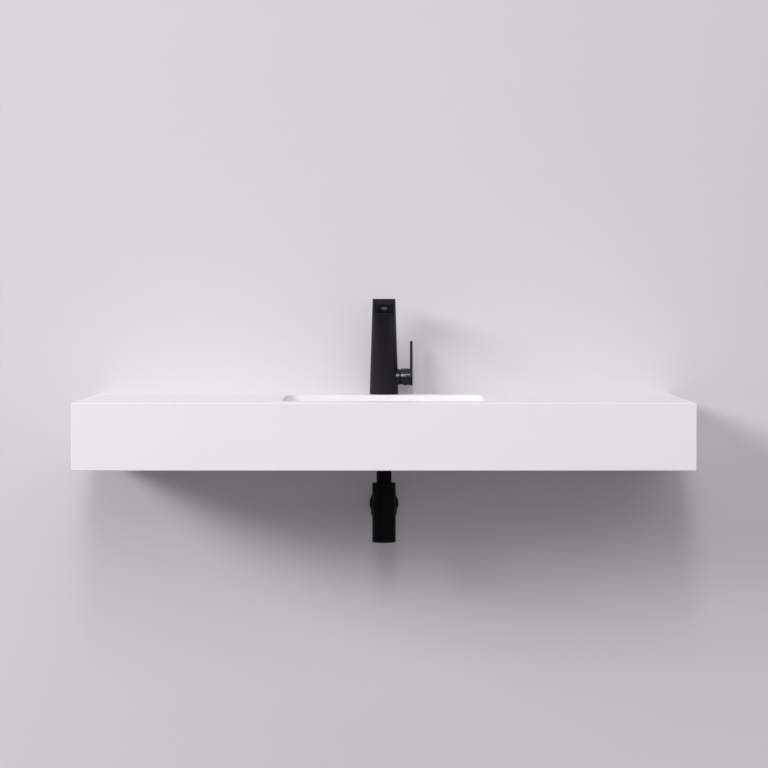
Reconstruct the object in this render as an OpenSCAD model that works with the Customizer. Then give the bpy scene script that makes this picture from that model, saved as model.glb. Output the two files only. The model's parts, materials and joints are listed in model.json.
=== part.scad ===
// Wall-hung washbasin: counter with an integrated bowl, side-lever mixer tap,
// push-open waste and slim bottle trap. Millimetres. X runs to the right, -Y towards
// the user and +Z up. The origin is on the wall, on the centre line, at the rim.

/* [Counter] */
// Width of the counter
basin_w = 1200; // [900:10:1500]
// Depth of the counter, from the wall to the front
basin_d = 480; // [450:5:560]
// Height of the front apron
basin_h = 130; // [126:1:150]
// Thickness of the deck and aprons
sheet_t = 12; // [10:0.5:14]
// Rounding of the outer edges
edge_r = 1.5; // [0.5:0.25:3]
// Rounding of the edge where the deck turns down into the bowl
rim_r = 2; // [1:0.5:5]
// Height of the stiffening rail along the wall
rail_h = 30; // [20:1:40]

/* [Bowl] */
// Width of the bowl opening
bowl_w = 400; // [340:5:520]
// Deck in front of the bowl
front_rim = 95; // [60:1:120]
// Deck between the bowl and the wall
back_ledge = 95; // [88:1:120]
// Corner radius of the opening
bowl_corner_r = 26; // [18:1:45]
// Depth of the bowl at the foot of its walls
bowl_depth = 80; // [70:1:84]
// Fall of the floor towards the waste
floor_fall = 6; // [3:0.5:8]
// Radius between the walls and the floor
floor_r = 20; // [12:1:24]
// Wall thickness of the bowl
bowl_t = 10; // [8:0.5:12]
// Slope of the bowl walls, in degrees
wall_draft = 4; // [1:0.5:8]
// Width of the glued flange under the deck
flange_w = 22; // [15:1:30]

/* [Wall brackets] */
// Distance from an end of the counter to the middle of a bracket
bracket_inset = 180; // [120:5:300]
// Width of a bracket
bracket_w = 50; // [44:1:60]
// Reach of a bracket from the wall
bracket_reach = 320; // [260:5:360]
// Height of the plate against the wall
bracket_h = 90; // [80:1:94]
// Thickness of the bracket steel
bracket_t = 4; // [3:0.5:5]
// Diameter of the holes for the wall screws
wall_hole_d = 11; // [9:0.5:13]
// Vertical distance between the wall screws of a bracket
wall_hole_pitch = 50; // [40:1:54]
// Thickness of the deck pads above the brackets
pad_t = 18; // [16:0.5:20]
// Diameter of the screws that hold the deck to the brackets
deck_screw_d = 8; // [6:1:8]

/* [Waste] */
// Diameter of the waste flange
waste_flange_d = 66; // [62:1:72]
// Outside diameter of the threaded waste tail
waste_tail_d = 41.5; // [38:0.5:43]
// Length of the waste, from the bowl floor to the end of its tail
waste_len = 50; // [46:1:54]
// Diameter of the plug
plug_d = 62; // [58:0.5:64]
// Travel of the plug between shut and open
plug_travel = 8; // [5:0.5:10]

/* [Trap] */
// Outside diameter of the inlet and outlet tubes
tube_d = 30; // [28:0.5:33]
// Wall of the tubes
tube_t = 1; // [0.8:0.1:1.5]
// Outside diameter of the bottle
trap_d = 47.3; // [46:0.1:60]
// Height of the bottle
trap_h = 119.5; // [110:0.5:150]
// Gap between the underside of the counter and the top of the bottle
trap_drop = 40.5; // [36:0.5:80]
// Distance from the top of the bottle down to the axis of the outlet
outlet_drop = 61; // [50:0.5:70]
// Height of the ring nut on top of the bottle
ring_nut_h = 7.5; // [6:0.5:12]
// Height of the screwed cap under the bottle
end_cap_h = 12; // [10:0.5:16]
// Diameter of the nut on the outlet
outlet_nut_d = 52; // [50:0.5:56]
// Diameter of the cover plate on the wall
wall_plate_d = 60.5; // [56:0.5:80]
// How far the outlet tube reaches into the wall
outlet_in_wall = 40; // [20:1:60]

/* [Tap body] */
// Distance from the wall to the axis of the tap
tap_back = 48; // [42:0.5:56]
// Diameter of the foot of the tap
tap_foot_d = 60; // [54:0.5:62]
// Height of the tap
tap_h = 198.5; // [180:0.5:220]
// Width of the tap at its top
tap_top_w = 47.2; // [42:0.2:50]
// How far the column leans forward at its top
tap_lean = 54; // [30:1:70]
// Reach of the spout from the axis of the foot
spout_reach = 102; // [90:1:125]
// Width of the spout at its tip
spout_tip_w = 45.6; // [38:0.2:46]
// Height of the upright lip at the tip
spout_lip_h = 11.5; // [8:0.5:16]
// Height of the sloping face that holds the aerator
outlet_rise = 18; // [15:0.5:22]
// Slope of that face, in degrees
outlet_tilt = 30; // [24:1:36]
// Height of the throat, where the column sweeps out into the spout
throat_h = 40; // [24:1:60]
// Diameter of the hole in the deck for the tap
tap_hole_d = 35; // [34:0.5:36]
// Diameter of the aerator
aerator_d = 20; // [18:0.5:22]

/* [Lever] */
// Height of the lever axis above the deck
lever_axis_z = 36; // [32:0.5:42]
// Diameter of the fixed collar on the side of the tap
collar_d = 34; // [33.5:0.5:36]
// Distance from the tap axis to the end of the collar
collar_reach = 32; // [31:0.5:36]
// Diameter of the lever hub
hub_d = 35.5; // [34:0.5:38]
// Distance from the tap axis to the outer end of the lever
lever_reach = 59.4; // [56:0.2:66]
// Thickness of the lever blade
blade_t = 5.4; // [3:0.2:6]
// Width of the blade at its tip
blade_tip_w = 15; // [12:0.5:20]
// Height of the blade tip above the lever axis
blade_h = 75; // [60:1:90]
// How far the lever tilts out to open the water, in degrees
lever_tilt = 25; // [15:1:28]

/* [Hidden] */
$fn = 64;

// Colours
white_stone = [0.93, 0.92, 0.93];
black_coat = [0.09, 0.09, 0.10];
black_rubber = [0.05, 0.05, 0.05];
zinc_steel = [0.62, 0.63, 0.65];
yellow_brass = [0.80, 0.66, 0.36];
grey_plastic = [0.50, 0.50, 0.52];
ceramic_white = [0.88, 0.86, 0.82];

// Small distances used all over
fit_gap = 0.2;       // gap between two pieces that are assembled by hand
seat_gap = 0.3;      // gap between a moving piece and its seat
run_gap = 0.05;      // gap between a pin and its bore
tilt_gap = 0.5;      // gap left under the lever hub when it is tilted right out

// Bowl
bowl_l = basin_d - front_rim - back_ledge;
bowl_y = -(back_ledge + bowl_l / 2);
bowl_top = -sheet_t;
drain_z = -(bowl_depth + floor_fall);
bowl_under = drain_z - bowl_t - 2;
waste_recess = 3;
waste_hole_d = waste_tail_d + 3.5;
plate_clear_d = 52;  // room left in the flange for the fixing plate of the tap

// Brackets
bracket_x = basin_w / 2 - bracket_inset;
bracket_top = -(sheet_t + pad_t);
pad_w = bracket_w + 16;
rail_notch = bracket_w + 10;
wall_hole_z = bracket_top - bracket_h / 2 - 5;  // middle of the two screws
deck_screw_near = -60;
deck_screw_far = -(bracket_reach - 50);
slot_l = 20;
insert_d = deck_screw_d + 4;
insert_h = pad_t - 3;

// Waste and trap
waste_end = drain_z - waste_len;
waste_bore_d = waste_tail_d - 7;
lock_nut_h = 10;
cone_seal_h = 7;
inlet_nut_h = 20;
inlet_nut_d = 48;
spider_z = drain_z - 26;
spider_h = 5;
click_r = 6;         // bore of the spider for the push mechanism
plug_under = drain_z + 1 + plug_travel;  // drawn open; shut is plug_travel lower
plug_inset = 8;      // from the edge of the plug to its seal
trap_top = -(basin_h + trap_drop);
trap_bottom = trap_top - trap_h;
trap_wall = 2.2;
outlet_z = trap_top - outlet_drop;
outlet_stub_d = 41.5;
outlet_stub_l = 24;
stub_end_y = bowl_y + trap_d / 2 + outlet_stub_l;
outlet_nut_l = 20;
dip_gap = 12;
wall_spigot_r = tube_d / 2 - 0.4;
cap_thread_h = 8;
cap_thread_t = 1.6;

// Tap
tap_y = -tap_back;
tap_foot_r = tap_foot_d / 2;
tap_top_r = tap_top_w / 2;
foot_gap = 0.3;
foot_groove_r = 27;
foot_groove_w = 3;
foot_groove_h = 2;
lip_z = tap_h - spout_lip_h;
spout_under_z = lip_z - outlet_rise;
outlet_run = outlet_rise / tan(outlet_tilt);
throat_z = spout_under_z - throat_h;
throat_n = 8;
spigot_d = tap_hole_d - 2;
spigot_h = 8;
stud_d = 8;
stud_y = tap_y - 9;
inlet_x = 9;
inlet_y = tap_y + 5;
inlet_thread_r = 4.6;
inlet_thread_l = 16;
stud_end = -48;
stud_depth = 10;     // how far the stud is screwed into the tap
fixing_d = 42;
fixing_rubber_t = 3;
fixing_plate_t = 2;
fixing_nut_h = 14;
pocket_w = spout_tip_w - 12.6;
pocket_depth = 3;
pocket_l = outlet_run / cos(outlet_tilt) - 4;

// Cartridge and lever
pivot_x = collar_reach + 5;
dome_r = 15.6;
hub_mouth = collar_reach + 3;
hub_bore_r = dome_r + seat_gap;
blade_x = lever_reach - blade_t;
cartridge_d = 25;
hub_floor_x = pivot_x + 10;
cartridge_wall = 2.5;
disc_t = 3;
driver_t = 4.4;      // moving disc with the driver on its back
disc_r = 9.5;
moving_disc_r = 5.2;
stem_arm = 9.5;      // from the pivot to the middle of the ball
stem_ball_r = 2;
socket_r = stem_ball_r + 0.25;
disc_x = pivot_x - stem_arm - driver_t / 2;
cartridge_back = disc_x - run_gap - disc_t - cartridge_wall;
dome_neck = 1;
nose_front = collar_reach + 2.5;
turret_r = 8;
turret_back = disc_x + driver_t + seat_gap;
turret_front = pivot_x + 3;
stem_w = 6;
pin_r = 1.25;
pin_l = 13;
lever_screw_r = 2;

// Half width of the tap column at a height above the deck
function column_r(z) = tap_foot_r + (tap_top_r - tap_foot_r) * z / tap_h;

// How far the middle of the column has moved forward at that height
function column_lean(z) = tap_lean * pow(z / tap_h, 2);

// Corner points of a rounded rectangle of width w and length l at height z
function rounded_ring(w, l, r, z, n = 8) = [
    for (q = [0:3], i = [0:n])
        let (a = 90 * q + 90 * i / n, sx = (q == 0 || q == 3) ? 1 : -1, sy = q < 2 ? 1 : -1)
            [sx * (w / 2 - r) + r * cos(a), sy * (l / 2 - r) + r * sin(a), z]
];

// Outline of the tap at height z: round at the back, drawn out to front_y in front
function tap_ring(z, front_y, front_w, corner_r, n_back = 28, n_corner = 12) =
    let (r = column_r(z), mid = -column_lean(z)) concat(
        [for (i = [0:n_back]) let (a = 180 * i / n_back) [r * cos(a), mid + r * sin(a), z]],
        [for (i = [1:n_corner]) let (a = 180 + 90 * i / n_corner)
            [corner_r - front_w / 2 + corner_r * cos(a), corner_r - front_y + corner_r * sin(a), z]],
        [for (i = [0:n_corner - 1]) let (a = 270 + 90 * i / n_corner)
            [front_w / 2 - corner_r + corner_r * cos(a), corner_r - front_y + corner_r * sin(a), z]]
    );

// Solid through a stack of rings that hold the same number of points, lowest ring first
module loft(rings) {
    n = len(rings[0]);
    m = len(rings);
    polyhedron(
        points = [for (ring = rings) each ring],
        faces = concat(
            [[for (i = [n - 1:-1:0]) n - 1 - i]],
            [for (k = [0:m - 2], i = [0:n - 1]) let (j = (i + 1) % n)
                each [[k * n + i, (k + 1) * n + i, (k + 1) * n + j],
                      [k * n + i, (k + 1) * n + j, k * n + j]]],
            [[for (i = [n - 1:-1:0]) (m - 1) * n + i]]
        ),
        convexity = 6
    );
}

// Rectangle with round corners, centred
module rounded_rect(w, l, r) {
    square([w - 2 * r, l], center = true);
    square([w, l - 2 * r], center = true);
    for (x = [-1, 1], y = [-1, 1])
        translate([x * (w / 2 - r), y * (l / 2 - r)]) circle(r);
}

// Tube standing on z = 0
module tube(r_out, r_in, h) {
    difference() {
        cylinder(r = r_out, h = h);
        translate([0, 0, -1]) cylinder(r = r_in, h = h + 2);
    }
}

// Ring nut standing on z = 0, with grip flutes around it
module grip_nut(d, bore_d, h, flutes) {
    flute_r = 2;
    flute_depth = 1.1;
    difference() {
        cylinder(d = d, h = h);
        translate([0, 0, -1]) cylinder(d = bore_d, h = h + 2);
        for (i = [0:flutes - 1])
            rotate([0, 0, i * 360 / flutes]) translate([d / 2 + flute_r - flute_depth, 0, -1])
                cylinder(r = flute_r, h = h + 2);
    }
}

// Places what follows on the axis of the waste, at height z
module at_waste(z = 0) {
    translate([0, bowl_y, z]) children();
}

// Places what follows on the tap axis, at the deck
module at_tap(z = 0) {
    translate([0, tap_y, z]) children();
}

// Turns what follows so that its Z runs out along the lever axis, from the tap axis
module along_lever(x = 0) {
    translate([x, tap_y, lever_axis_z]) rotate([0, 90, 0]) children();
}

// Outer block of the counter, with its free edges rounded and its wall side square
module counter_block() {
    over = 5;
    intersection() {
        translate([0, 0, -basin_h]) linear_extrude(basin_h)
            intersection() {
                translate([0, -basin_d / 2 + over / 2])
                    rounded_rect(basin_w, basin_d + over, edge_r);
                translate([-basin_w, -2 * basin_d]) square([2 * basin_w, 2 * basin_d]);
            }
        translate([0, over, 0]) rotate([90, 0, 0]) linear_extrude(basin_d + 2 * over)
            translate([0, -basin_h / 2]) rounded_rect(basin_w, basin_h, edge_r);
        rotate([90, 0, 90]) translate([0, 0, -basin_w]) linear_extrude(2 * basin_w)
            translate([-basin_d / 2 + over / 2, -basin_h / 2])
                rounded_rect(basin_d + over, basin_h, edge_r);
    }
}

// Cutter that rounds the edge of the deck opening over
module rim_roundover(steps = 5) {
    translate([0, bowl_y, 0]) loft(concat(
        [for (i = [0:steps]) let (a = 90 * i / steps, out = rim_r * (1 - cos(a)))
            rounded_ring(bowl_w + 2 * out, bowl_l + 2 * out, bowl_corner_r + out,
                -rim_r + rim_r * sin(a))],
        [rounded_ring(bowl_w + 2 * rim_r, bowl_l + 2 * rim_r, bowl_corner_r + rim_r, 1)]
    ));
}

// Part of the counter block between two corners
module counter_slice(low, high) {
    color(white_stone) intersection() {
        counter_block();
        translate(low) cube(high - low);
    }
}

module deck() {
    color(white_stone) difference() {
        counter_slice([-basin_w, -2 * basin_d, -sheet_t], [basin_w, basin_d, 1]);
        translate([0, bowl_y, -sheet_t - 1]) linear_extrude(sheet_t + 2)
            rounded_rect(bowl_w, bowl_l, bowl_corner_r);
        rim_roundover();
        at_tap(-sheet_t - 1) cylinder(d = tap_hole_d, h = sheet_t + 2);
    }
}

module front_apron() {
    counter_slice([-basin_w, -2 * basin_d, -2 * basin_h], [basin_w, -(basin_d - sheet_t), -sheet_t]);
}

module side_apron(side) {
    inner = side * (basin_w / 2 - sheet_t);
    outer = side * basin_w;
    counter_slice([min(inner, outer), -(basin_d - sheet_t), -2 * basin_h],
        [max(inner, outer), basin_d, -sheet_t]);
}

// Rail along the wall, open where the brackets stand
module wall_rail() {
    color(white_stone) for (s = [-1, 1]) {
        inner = s * (bracket_x - rail_notch / 2);
        outer = s * (bracket_x + rail_notch / 2);
        side = s * (basin_w / 2 - sheet_t);
        translate([min(outer, side), -sheet_t, -sheet_t - rail_h])
            cube([abs(side - outer), sheet_t, rail_h]);
        translate([min(0, inner), -sheet_t, -sheet_t - rail_h])
            cube([abs(inner), sheet_t, rail_h]);
    }
}

// Pads glued under the deck for the threaded inserts
module deck_pads() {
    color(white_stone) difference() {
        for (s = [-1, 1])
            translate([s * bracket_x - pad_w / 2, -(bracket_reach + 8), bracket_top])
                cube([pad_w, bracket_reach + 8 - sheet_t, pad_t]);
        for (s = [-1, 1], y = [deck_screw_near, deck_screw_far])
            translate([s * bracket_x, y, bracket_top - 1]) cylinder(d = insert_d, h = insert_h + 1);
    }
}

// Solid tray with sloping walls, a rounded foot and a floor that falls to the waste.
// grow widens it on every side, for the outside of the bowl.
module bowl_form(grow, top_z, foot_z, sump_z, steps = 7) {
    function inset(z) = (bowl_top - z) * tan(wall_draft);
    foot_r = floor_r + grow;
    sump_d = waste_flange_d + 14 + 2 * grow;
    wall_end = foot_z + foot_r;
    function tray_ring(z, extra) =
        rounded_ring(bowl_w + 2 * (grow - inset(z) - extra), bowl_l + 2 * (grow - inset(z) - extra),
            max(bowl_corner_r + grow - extra * 0.6, 4), z);
    translate([0, bowl_y, 0]) loft(concat(
        [rounded_ring(sump_d, sump_d, sump_d / 2 - 0.1, sump_z)],
        [for (i = [0:steps]) let (a = 90 * i / steps)
            tray_ring(wall_end - foot_r * cos(a), foot_r * (1 - sin(a)))],
        [tray_ring(top_z, 0)]
    ));
}

module bowl() {
    color(white_stone) difference() {
        union() {
            bowl_form(bowl_t, bowl_top, bowl_under + 4, bowl_under);
            // flange glued under the deck
            translate([0, bowl_y, bowl_top - bowl_t]) linear_extrude(bowl_t)
                rounded_rect(bowl_w + 2 * (bowl_t + flange_w), bowl_l + 2 * (bowl_t + flange_w),
                    bowl_corner_r);
        }
        bowl_form(0, bowl_top + 1, -bowl_depth, drain_z);
        at_waste(bowl_under - 1) cylinder(d = waste_hole_d, h = 40);
        at_waste(drain_z - waste_recess) cylinder(d = waste_flange_d + 1, h = 20);
        at_tap(bowl_top - bowl_t - 1) cylinder(d = plate_clear_d, h = bowl_t + 2);
    }
}

// Bracket folded from one sheet: wall plate, arm and two tapered cheeks
module wall_bracket(side) {
    cheek_back = 22;     // level part of the cheek at the wall
    cheek_front = 22;    // height of the cheek at its front
    nose_l = 12;
    nose_h = 8;
    color(zinc_steel) translate([side * bracket_x, 0, bracket_top]) difference() {
        union() {
            translate([-bracket_w / 2, -bracket_t, -bracket_h]) cube([bracket_w, bracket_t, bracket_h]);
            translate([-bracket_w / 2, -bracket_reach, -bracket_t])
                cube([bracket_w, bracket_reach, bracket_t]);
            for (x = [-bracket_w / 2, bracket_w / 2 - bracket_t])
                translate([x, 0, 0]) rotate([90, 0, 90]) linear_extrude(bracket_t)
                    polygon([[0, 0], [0, -bracket_h], [-cheek_back, -bracket_h],
                        [-bracket_reach + nose_l, -cheek_front], [-bracket_reach, -cheek_front + nose_h],
                        [-bracket_reach, 0]]);
        }
        for (z = [wall_hole_z - wall_hole_pitch / 2, wall_hole_z + wall_hole_pitch / 2])
            translate([0, 1, z - bracket_top]) rotate([90, 0, 0])
                cylinder(d = wall_hole_d, h = bracket_t + 2);
        for (y = [deck_screw_near, deck_screw_far])
            translate([0, y, -bracket_t - 1]) linear_extrude(bracket_t + 2) {
                square([deck_screw_d + 1, slot_l - deck_screw_d - 1], center = true);
                for (e = [-1, 1])
                    translate([0, e * (slot_l - deck_screw_d - 1) / 2])
                        circle(d = deck_screw_d + 1);
            }
    }
}

// Places what follows at each deck screw, at the underside of the bracket arm
module at_deck_screws() {
    for (s = [-1, 1], y = [deck_screw_near, deck_screw_far])
        translate([s * bracket_x, y, bracket_top - bracket_t]) children();
}

module deck_screws() {
    head_h = 5;
    washer_t = 1.6;
    color(zinc_steel) at_deck_screws() difference() {
        union() {
            translate([0, 0, -washer_t]) cylinder(d = 2.1 * deck_screw_d, h = washer_t);
            translate([0, 0, -washer_t - head_h]) cylinder(d = 1.7 * deck_screw_d, h = head_h);
            translate([0, 0, -washer_t])
                cylinder(d = deck_screw_d - 0.2, h = washer_t + bracket_t + insert_h - 2);
        }
        translate([0, 0, -washer_t - head_h - 1])
            cylinder(d = 0.7 * deck_screw_d, h = 4, $fn = 6);
    }
}

module threaded_inserts() {
    color(yellow_brass) at_deck_screws() translate([0, 0, bracket_t])
        tube(insert_d / 2, deck_screw_d / 2, insert_h);
}

module waste_body() {
    flange_r = waste_flange_d / 2;
    tail_r = waste_tail_d / 2;
    bore_r = waste_bore_d / 2;
    hub_r = 9;
    arm_w = 3;
    color(black_coat) at_waste() {
        rotate_extrude() polygon([
            [bore_r, waste_end], [tail_r - 1, waste_end], [tail_r, waste_end + 1],
            [tail_r, drain_z - waste_recess + 1], [flange_r, drain_z - waste_recess + 1],
            [flange_r, drain_z - 0.8], [flange_r - 1, drain_z],
            [bore_r + 6, drain_z - 0.4], [bore_r, drain_z - 2]
        ]);
        // spider that carries the push mechanism
        difference() {
            translate([0, 0, spider_z]) union() {
                cylinder(r = hub_r, h = spider_h);
                for (a = [0:120:240]) rotate([0, 0, a]) translate([0, -arm_w / 2, 0])
                    cube([bore_r + 1, arm_w, spider_h]);
            }
            translate([0, 0, spider_z - 1]) cylinder(r = click_r, h = spider_h + 2);
        }
    }
}

module waste_flange_seal() {
    color(black_rubber) at_waste(drain_z - waste_recess)
        tube(waste_flange_d / 2, waste_tail_d / 2 + fit_gap, 1);
}

module waste_cone_seal() {
    tail_r = waste_tail_d / 2 + fit_gap;
    color(black_rubber) at_waste() rotate_extrude() polygon([
        [tail_r, bowl_under - cone_seal_h], [tail_r + 8, bowl_under - cone_seal_h],
        [tail_r + 8, bowl_under], [waste_hole_d / 2 - 0.1, bowl_under],
        [waste_hole_d / 2 - 0.5, bowl_under + 4], [tail_r, bowl_under + 4]
    ]);
}

module waste_lock_nut() {
    color(yellow_brass) at_waste(bowl_under - cone_seal_h - lock_nut_h)
        grip_nut(waste_tail_d + 17, waste_tail_d + 2 * run_gap, lock_nut_h, 6);
}

module click_cartridge() {
    color(grey_plastic) at_waste() difference() {
        union() {
            translate([0, 0, spider_z - 10]) cylinder(r = click_r - run_gap, h = 10 + spider_h);
            translate([0, 0, spider_z + spider_h]) cylinder(r = 7.5, h = 6);
        }
        translate([0, 0, spider_z - 7]) cylinder(r = 4.2, h = 30);
    }
}

module plug_cap() {
    r = plug_d / 2;
    color(black_coat) at_waste() rotate_extrude() polygon(concat(
        [[0, plug_under + 1.5], [5, plug_under + 1.5], [5, plug_under - 3], [7, plug_under - 3],
         [7, plug_under + 1.5], [r - plug_inset, plug_under + 1.5], [r - plug_inset, plug_under],
         [r - 0.6, plug_under], [r, plug_under + 0.8]],
        [for (i = [0:8]) let (a = 90 * i / 8) [r * cos(a * 0.98), plug_under + 2.2 + 3 * sin(a)]],
        [[0, plug_under + 5.2]]
    ));
}

module plug_seal() {
    r = plug_d / 2 - plug_inset - fit_gap;
    color(black_rubber) at_waste(plug_under - 0.8) tube(r, r - 5, 2.3);
}

module plug_stem() {
    stem_end = spider_z - 6 + plug_travel;
    color(yellow_brass) at_waste() {
        translate([0, 0, stem_end]) cylinder(r = 4, h = plug_under + 1.5 - stem_end);
        translate([0, 0, plug_under - 6]) cylinder(r = 6, h = 2.7);
    }
}

module inlet_nut() {
    bore_r = waste_tail_d / 2 + run_gap;
    floor_t = 4;
    bottom = waste_end - floor_t - 3;
    color(black_coat) at_waste(bottom) difference() {
        grip_nut(inlet_nut_d, tube_d + 1, inlet_nut_h, 10);
        translate([0, 0, floor_t]) cylinder(r = bore_r, h = inlet_nut_h);
    }
}

module inlet_washer() {
    color(black_rubber) at_waste(waste_end - 2) tube(waste_tail_d / 2 - 0.5, tube_d / 2 - 2, 2);
}

// Tube with a collar under the waste that dips into the bottle
module inlet_tube() {
    top = waste_end - 2;
    bottom = trap_bottom + end_cap_h + dip_gap;
    collar_r = waste_tail_d / 2 - 0.5;
    color(black_coat) at_waste() difference() {
        union() {
            translate([0, 0, bottom]) cylinder(d = tube_d, h = top - bottom);
            translate([0, 0, top - 1]) cylinder(r = collar_r, h = 1);
        }
        translate([0, 0, bottom - 1]) cylinder(d = tube_d - 2 * tube_t, h = top - bottom + 3);
    }
}

module trap_ring_nut() {
    color(black_coat) at_waste() rotate_extrude() polygon([
        [tube_d / 2 + 0.4, trap_top - 2], [tube_d / 2 + 0.4, trap_top],
        [trap_d / 2 - 1, trap_top], [trap_d / 2, trap_top - 1],
        [trap_d / 2, trap_top - ring_nut_h], [trap_d / 2 - 2.6, trap_top - ring_nut_h],
        [trap_d / 2 - 2.6, trap_top - 2]
    ]);
}

module trap_neck_seal() {
    color(black_rubber) at_waste(trap_top - 6)
        tube(trap_d / 2 - 3, tube_d / 2 + run_gap, 4 - run_gap);
}

// Bottle with a threaded neck, an open foot and a stub for the outlet
module trap_body() {
    r = trap_d / 2;
    foot = trap_bottom + end_cap_h;
    shoulder = trap_top - ring_nut_h;
    color(black_coat) difference() {
        union() {
            at_waste() rotate_extrude() polygon([
                [0, foot], [r - 0.4, foot], [r, foot + 0.4], [r, shoulder],
                [r - 2.7, shoulder], [r - 2.7, trap_top - 6], [0, trap_top - 6]
            ]);
            translate([0, bowl_y, outlet_z]) rotate([-90, 0, 0])
                cylinder(d = outlet_stub_d, h = r + outlet_stub_l);
        }
        at_waste(foot - 1) cylinder(r = r - trap_wall, h = shoulder - foot - 3);
        at_waste(foot) cylinder(d = tube_d + 2 * fit_gap, h = trap_h);
        translate([0, bowl_y, outlet_z]) rotate([-90, 0, 0])
            cylinder(d = tube_d + 2 * fit_gap, h = r + outlet_stub_l + 1);
    }
}

// Cap that is screwed out for cleaning
module trap_end_cap() {
    r = trap_d / 2;
    neck_r = r - trap_wall - run_gap;
    top = trap_bottom + end_cap_h;
    color(black_coat) at_waste() difference() {
        rotate_extrude() polygon([
            [0, trap_bottom], [r - 1.2, trap_bottom], [r, trap_bottom + 1.2],
            [r, top - 0.5], [neck_r - 1, top - 0.5], [neck_r - 1, top + 1.5],
            [neck_r, top + 1.5], [neck_r, top + cap_thread_h], [0, top + cap_thread_h]
        ]);
        translate([0, 0, trap_bottom + 3])
            cylinder(r = neck_r - cap_thread_t - 1, h = end_cap_h + cap_thread_h);
    }
}

module end_cap_seal() {
    neck_r = trap_d / 2 - trap_wall - run_gap;
    color(black_rubber) at_waste(trap_bottom + end_cap_h)
        translate([0, 0, 0.1]) tube(neck_r - 0.05, neck_r - 0.95, 1.3);
}

// Turns what follows so that its Z runs from the bottle to the wall
module along_outlet(y) {
    translate([0, y, outlet_z]) rotate([-90, 0, 0]) children();
}

module outlet_nut() {
    color(black_coat) along_outlet(stub_end_y + 5 - outlet_nut_l) difference() {
        union() {
            cylinder(d = outlet_nut_d, h = outlet_nut_l - 3);
            translate([0, 0, outlet_nut_l - 3]) cylinder(d1 = outlet_nut_d, d2 = outlet_nut_d - 6, h = 3);
        }
        translate([0, 0, -1]) cylinder(d = outlet_stub_d + 2 * run_gap, h = outlet_nut_l - 4 + 1);
        cylinder(d = tube_d + 1, h = outlet_nut_l + 1);
    }
}

module outlet_seal() {
    color(black_rubber) along_outlet(stub_end_y)
        tube(outlet_stub_d / 2 - 0.5, tube_d / 2 + run_gap, 1);
}

// Tube from the bottle to the wall, a little slimmer where it enters the wall sleeve
module outlet_tube() {
    start = bowl_y + tube_d / 2 + 12;
    spigot_y = 2;
    color(black_coat) along_outlet(start) rotate_extrude() polygon([
        [tube_d / 2 - tube_t, 0], [tube_d / 2, 0], [tube_d / 2, spigot_y - start],
        [wall_spigot_r, spigot_y - start], [wall_spigot_r, outlet_in_wall - start],
        [tube_d / 2 - tube_t, outlet_in_wall - start]
    ]);
}

module wall_plate() {
    r = wall_plate_d / 2;
    bore = tube_d / 2 + fit_gap;
    depth = 12;
    color(black_coat) translate([0, 0, outlet_z]) rotate([90, 0, 0]) rotate_extrude()
        polygon(concat(
            [[bore, 0], [r, 0], [r, 1.5]],
            [for (i = [0:6]) let (a = 90 * i / 6)
                [bore + 2 + (r - bore - 2) * cos(a), 2 + (depth - 2) * sin(a)]],
            [[bore, depth]]
        ));
}

// Front of the plain leaning column at height z
function column_front(z) = column_lean(z) + column_r(z);

// Rings of the tap, from the foot to the flat top
function tap_rings() =
    let (
        column_n = 10,
        tip_r = 2,
        under_y = spout_reach - outlet_run,
        gain = under_y - column_front(spout_under_z)
    )
    concat(
        [for (i = [0:column_n]) let (z = foot_gap + (throat_z - foot_gap) * i / column_n)
            tap_ring(z, column_front(z), 2 * column_r(z), column_r(z))],
        [for (i = [1:throat_n]) let (t = i / throat_n, z = throat_z + throat_h * t, r = column_r(z))
            tap_ring(z, column_front(z) + gain * t * t,
                2 * r + (spout_tip_w - 2 * tap_top_r) * t, r + (5 - r) * t * t)],
        [for (z = [lip_z, tap_h]) tap_ring(z, spout_reach, spout_tip_w, tip_r)]
    );

// Places what follows in the middle of the sloping face, its -Z pointing out of it
module at_outlet(depth = 0) {
    at_tap() translate([0, -(spout_reach - outlet_run / 2), lip_z - outlet_rise / 2])
        rotate([-outlet_tilt, 0, 0]) translate([0, 0, depth]) children();
}

module tap_body() {
    color(black_coat) difference() {
        union() {
            at_tap() loft(tap_rings());
            at_tap(-spigot_h) cylinder(d = spigot_d, h = spigot_h + 2);
            along_lever() cylinder(d = collar_d, h = collar_reach);
        }
        // seat of the cartridge
        along_lever(cartridge_back) cylinder(d = cartridge_d + 2 * run_gap, h = collar_reach);
        // groove for the foot seal
        at_tap(foot_gap - 1)
            tube(foot_groove_r, foot_groove_r - foot_groove_w, foot_groove_h + 1);
        // stud and water connections
        translate([0, stud_y, -spigot_h - 1]) cylinder(d = stud_d, h = 20);
        for (s = [-1, 1])
            translate([s * inlet_x, inlet_y, -spigot_h - 1])
                cylinder(r = inlet_thread_r, h = inlet_thread_l + 1);
        // recess in the sloping face, and the seat of the aerator in it
        at_outlet(-5) linear_extrude(5 + pocket_depth) rounded_rect(pocket_w, pocket_l, 4);
        at_outlet() cylinder(d = aerator_d - 2, h = 15);
    }
}

module tap_foot_seal() {
    color(black_rubber) at_tap(run_gap)
        tube(foot_groove_r - fit_gap, foot_groove_r - foot_groove_w + fit_gap,
            foot_gap + foot_groove_h - 2 * run_gap);
}

module aerator_housing() {
    wall = 2;
    color(black_coat) at_outlet(pocket_depth) difference() {
        union() {
            translate([0, 0, -2.5]) cylinder(d = aerator_d, h = 2.5);
            cylinder(d = aerator_d - 2 - 2 * run_gap, h = 7);
        }
        translate([0, 0, -3]) cylinder(d = aerator_d - 2 * wall - 1, h = 12);
    }
}

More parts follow.
